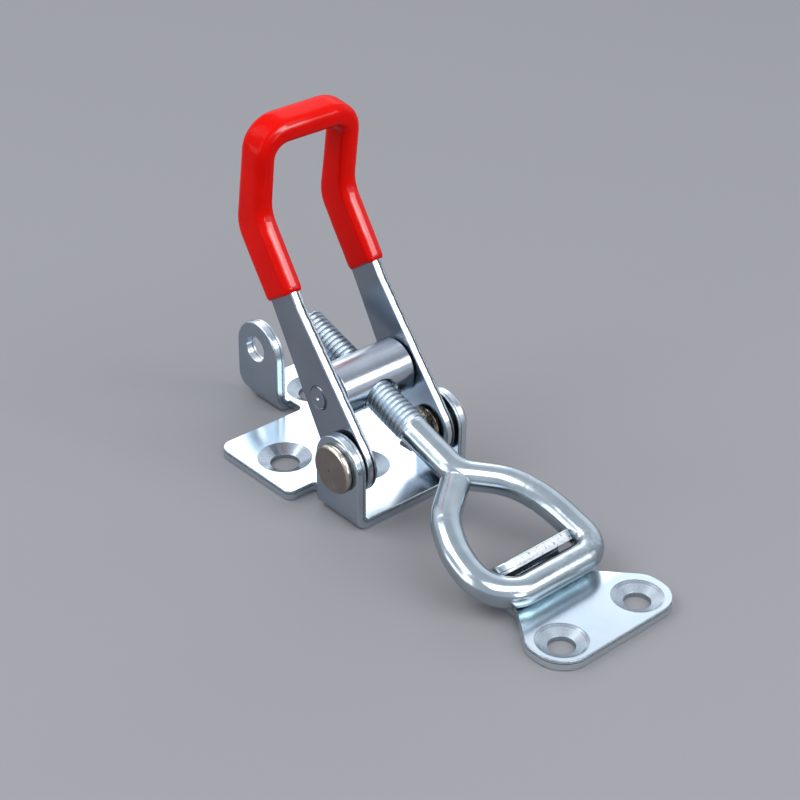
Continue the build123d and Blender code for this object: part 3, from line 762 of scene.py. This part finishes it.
def section(a, b, radii, front_fall, crown):
    """Points round a section: front middle, outer front corner, outer side, and so on round."""
    pts = []
    corners = ((1, 1, radii[0]), (-1, 1, radii[1]), (-1, -1, radii[2]), (1, -1, radii[3]))
    for q, (sw, st, r) in enumerate(corners):
        start = {0: 0.0, 1: 90.0, 2: 180.0, 3: 270.0}[q]
        for j in range(7):
            t = math.radians(start + 90.0 * j / 6)
            pts.append((sw * (a - r) + r * math.cos(t), st * (b - r) + r * math.sin(t)))
        # along the next side
        nw, nt, nr = corners[(q + 1) % 4]
        end = math.radians(start + 90)
        p0 = (sw * (a - r) + r * math.cos(end), st * (b - r) + r * math.sin(end))
        p1 = (nw * (a - nr) + nr * math.cos(end), nt * (b - nr) + nr * math.sin(end))
        for j in range(1, 6):
            pts.append((p0[0] + (p1[0] - p0[0]) * j / 6, p0[1] + (p1[1] - p0[1]) * j / 6))
    out = []
    for w, t in pts:
        if w > 0:
            w -= front_fall * (t / b) ** 2 * smooth_step(0.2, 1.0, w / a)
        t *= 1.0 - crown * (w / a) ** 2
        out.append((w, t))
    return out


def make_grip():
    outer, n_leg, n_bar = sleeve_stations(4.0, 3.3, 6.0, 11.4, 7.4, 2.15, 6.0, 2.3)
    inner, _, _ = sleeve_stations(3.27, 2.57, 5.0, 10.32, 8.28, 1.02, 5.02, 2.98)
    n = len(outer)
    bm = bmesh.new()
    rings, liner = [], []
    for i in range(n):
        j = min(i, n - 1 - i)  # stations from the nearer rim
        lowness = smooth_step(36.0, 20.0, j)  # 1 below the knee, 0 above it
        barness = smooth_step(n_leg - 6, n_leg + 1, j)
        mid, w3, t3 = outer[i]
        a, b = w3.length, t3.length
        wn, tn = w3 / a, t3 / b
        radii = (
            1.70 - 0.80 * lowness - 0.15 * barness,
            1.80 - 0.35 * lowness - 0.30 * barness,
            1.70 - 0.25 * lowness,
            1.70 - 0.75 * lowness,
        )
        pts = section(a, b, radii, 0.10 + 0.34 * lowness, 0.06)
        # where along the sleeve this is, and the rim's own shape
        run = 0.0
        for q in range(1, j + 1):
            k0 = q if i < n / 2 else n - 1 - q
            k1 = q - 1 if i < n / 2 else n - q
            run += (outer[k0][0] - outer[k1][0]).length
            if run > 4:
                break
        ahead = outer[min(i + 1, n - 1)][0] - outer[max(i - 1, 0)][0]
        down = -ahead.normalized() if i < n / 2 else ahead.normalized()
        ring = []
        for c, (w, t) in enumerate(pts):
            ang = 2 * math.pi * c / len(pts)
            p = mid + wn * w + tn * t
            if run < 4:
                # drawn down at the corners of the strip, pulled up over its faces
                wave = 0.30 * abs(math.sin(ang)) * abs(math.cos(ang)) * 2 - 0.22
                wave += 0.16 * noise.noise(Vector((math.cos(ang) * 1.6, math.sin(ang) * 1.6, 3.0)))
                p += down * wave * smooth_step(4.0, 0.0, run)
                shrink = 1.0 - smooth_step(0.75, 0.0, run) * 0.07
                p = mid + (p - mid) * shrink
            n_at = noise.noise(p * 0.16) * 0.5 + noise.noise(p * 0.42) * 0.2
            inward = (mid - p).normalized()
            p += inward * (0.03 + 0.07 * n_at)
            ring.append(bm.verts.new(p * MM))
        rings.append(ring)
        mid, w3, t3 = inner[i]
        a, b = w3.length, t3.length
        wn, tn = w3 / a, t3 / b
        ring = []
        for w, t in section(a, b, (0.2, 0.2, 0.2, 0.2), 0.0, 0.0):
            ring.append(bm.verts.new((mid + wn * w + tn * t) * MM))
        liner.append(ring)
    around = len(rings[0])
    for i in range(n - 1):
        for j in range(around):
            q = (j + 1) % around
            bm.faces.new((rings[i][j], rings[i][q], rings[i + 1][q], rings[i + 1][j]))
            bm.faces.new((liner[i][q], liner[i][j], liner[i + 1][j], liner[i + 1][q]))
    for i in (0, n - 1):
        for j in range(around):
            q = (j + 1) % around
            bm.faces.new((rings[i][q], rings[i][j], liner[i][j], liner[i][q]))
    bmesh.ops.recalc_face_normals(bm, faces=bm.faces)
    for f in bm.faces:
        f.smooth = True
    me = bpy.data.meshes.new("grip_dipped")
    bm.to_mesh(me)
    bm.free()
    o = bpy.data.objects.new("grip_dipped", me)
    bpy.context.scene.collection.objects.link(o)
    me.materials.append(MAT_GRIP)
    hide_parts("grip")
    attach(o, "lever")
    return o


make_grip()


# ----------------------------------------------------------------- the studio
def plain_floor():
    me = bpy.data.meshes.new("floor")
    s = 9.0
    me.from_pydata([(-s, -s, 0), (s, -s, 0), (s, s, 0), (-s, s, 0)], [], [(0, 1, 2, 3)])
    o = bpy.data.objects.new("floor", me)
    bpy.context.scene.collection.objects.link(o)
    m = bpy.data.materials.new("floor_pale")
    m.use_nodes = True
    b = m.node_tree.nodes["Principled BSDF"]
    b.inputs["Base Color"].default_value = (0.205, 0.205, 0.215, 1)
    b.inputs["Roughness"].default_value = 0.9
    b.inputs["Specular IOR Level"].default_value = 0.1
    me.materials.append(m)
    return o


plain_floor()

CENTRE = Vector((0.004, 0.0, 0.018))


def softbox(name, az, el, distance, size, radiance, colour=(1, 1, 1)):
    """A soft panel seen from the object at that azimuth and elevation in degrees."""
    a, b = math.radians(az), math.radians(el)
    d = Vector((math.cos(a) * math.cos(b), math.sin(a) * math.cos(b), math.sin(b)))
    light = bpy.data.lights.new(name, "AREA")
    light.shape = "RECTANGLE"
    light.size, light.size_y = size
    light.energy = radiance * math.pi * size[0] * size[1]
    light.color = colour
    o = bpy.data.objects.new(name, light)
    o.location = CENTRE + d * distance
    o.rotation_euler = (-d).to_track_quat("-Z", "Y").to_euler()
    o.visible_camera = False
    bpy.context.scene.collection.objects.link(o)
    return o


softbox("left_high", -127, 52, 0.9, (0.62, 0.42), 4.5)
softbox("left_rear", -145, 33, 0.9, (0.30, 0.20), 3.0)
softbox("left_low", -96, 19, 0.9, (0.30, 0.50), 2.2, (0.95, 0.98, 1.0))
softbox("left_horizon", -116, 4, 0.45, (0.30, 0.11), 2.0, (0.95, 0.98, 1.0))
softbox("right_high", -5, 51, 0.9, (0.95, 0.42), 4.5)
softbox("right_low", 29, 29, 0.9, (0.52, 0.30), 3.6)
softbox("right_mid", 2, 9, 0.9, (0.26, 0.26), 4.0)
softbox("back", 138, 31, 0.9, (0.55, 0.30), 2.6)

# the room: a little brighter behind the object, with a dark gap beside the right panels
world = bpy.data.worlds.new("soft_room")
bpy.context.scene.world = world
world.use_nodes = True
wt = world.node_tree
bg = wt.nodes["Background"]
tc = wt.nodes.new("ShaderNodeTexCoord")
sep = wt.nodes.new("ShaderNodeSeparateXYZ")
wt.links.new(tc.outputs["Generated"], sep.inputs[0])
wx, wy, wz = (X(wt, sep.outputs[i]) for i in range(3))
behind = (wx * math.cos(math.radians(135)) + wy * math.sin(math.radians(135))).ramp(0.20, 0.70) * wz.ramp(0.92, 0.70) * wz.ramp(0.02, 0.34)
across = (wx * -math.sin(math.radians(60)) + wy * math.cos(math.radians(60))).abs()
ahead = (wx * math.cos(math.radians(60)) + wy * math.sin(math.radians(60))).over(0.0)
gap = across.ramp(0.30, 0.16) * ahead * wz.ramp(0.86, 0.70)


def blend(tree, fac, a, b):
    n = tree.nodes.new("ShaderNodeMix")
    n.data_type = "RGBA"
    tree.links.new(fac.sock, n.inputs[0])
    for i, v in ((6, a), (7, b)):
        if isinstance(v, tuple):
            n.inputs[i].default_value = (*v, 1.0)
        else:
            tree.links.new(v, n.inputs[i])
    return n.outputs[2]


tone = blend(wt, behind, (0.70, 0.74, 0.82), (1.12, 1.18, 1.28))
tone = blend(wt, gap, tone, (0.36, 0.37, 0.43))
wt.links.new(tone, bg.inputs["Color"])
bg.inputs["Strength"].default_value = 1.0
bpy.context.scene.view_settings.view_transform = "Standard"

# --------------------------------------------------------------------- camera
AZ, EL, ROLL = math.radians(47.983), math.radians(31.454), math.radians(0.799)
back = Vector((math.sin(AZ) * math.cos(EL), -math.cos(AZ) * math.cos(EL), math.sin(EL)))
right = Vector((math.cos(AZ), math.sin(AZ), 0.0))
up = back.cross(right)
r2 = right * math.cos(ROLL) + up * math.sin(ROLL)
u2 = -right * math.sin(ROLL) + up * math.cos(ROLL)
cam_data = bpy.data.cameras.new("camera")
cam_data.lens = 85.5
cam_data.sensor_width = 36.0
cam_data.clip_start = 0.01
cam_data.clip_end = 20.0
cam = bpy.data.objects.new("camera", cam_data)
m = Matrix((r2, u2, back)).transposed().to_4x4()
m.translation = Vector((0.21296827, -0.19013712, 0.19438553))
cam.matrix_world = m
bpy.context.scene.collection.objects.link(cam)
bpy.context.scene.camera = cam

bpy.context.view_layer.update()
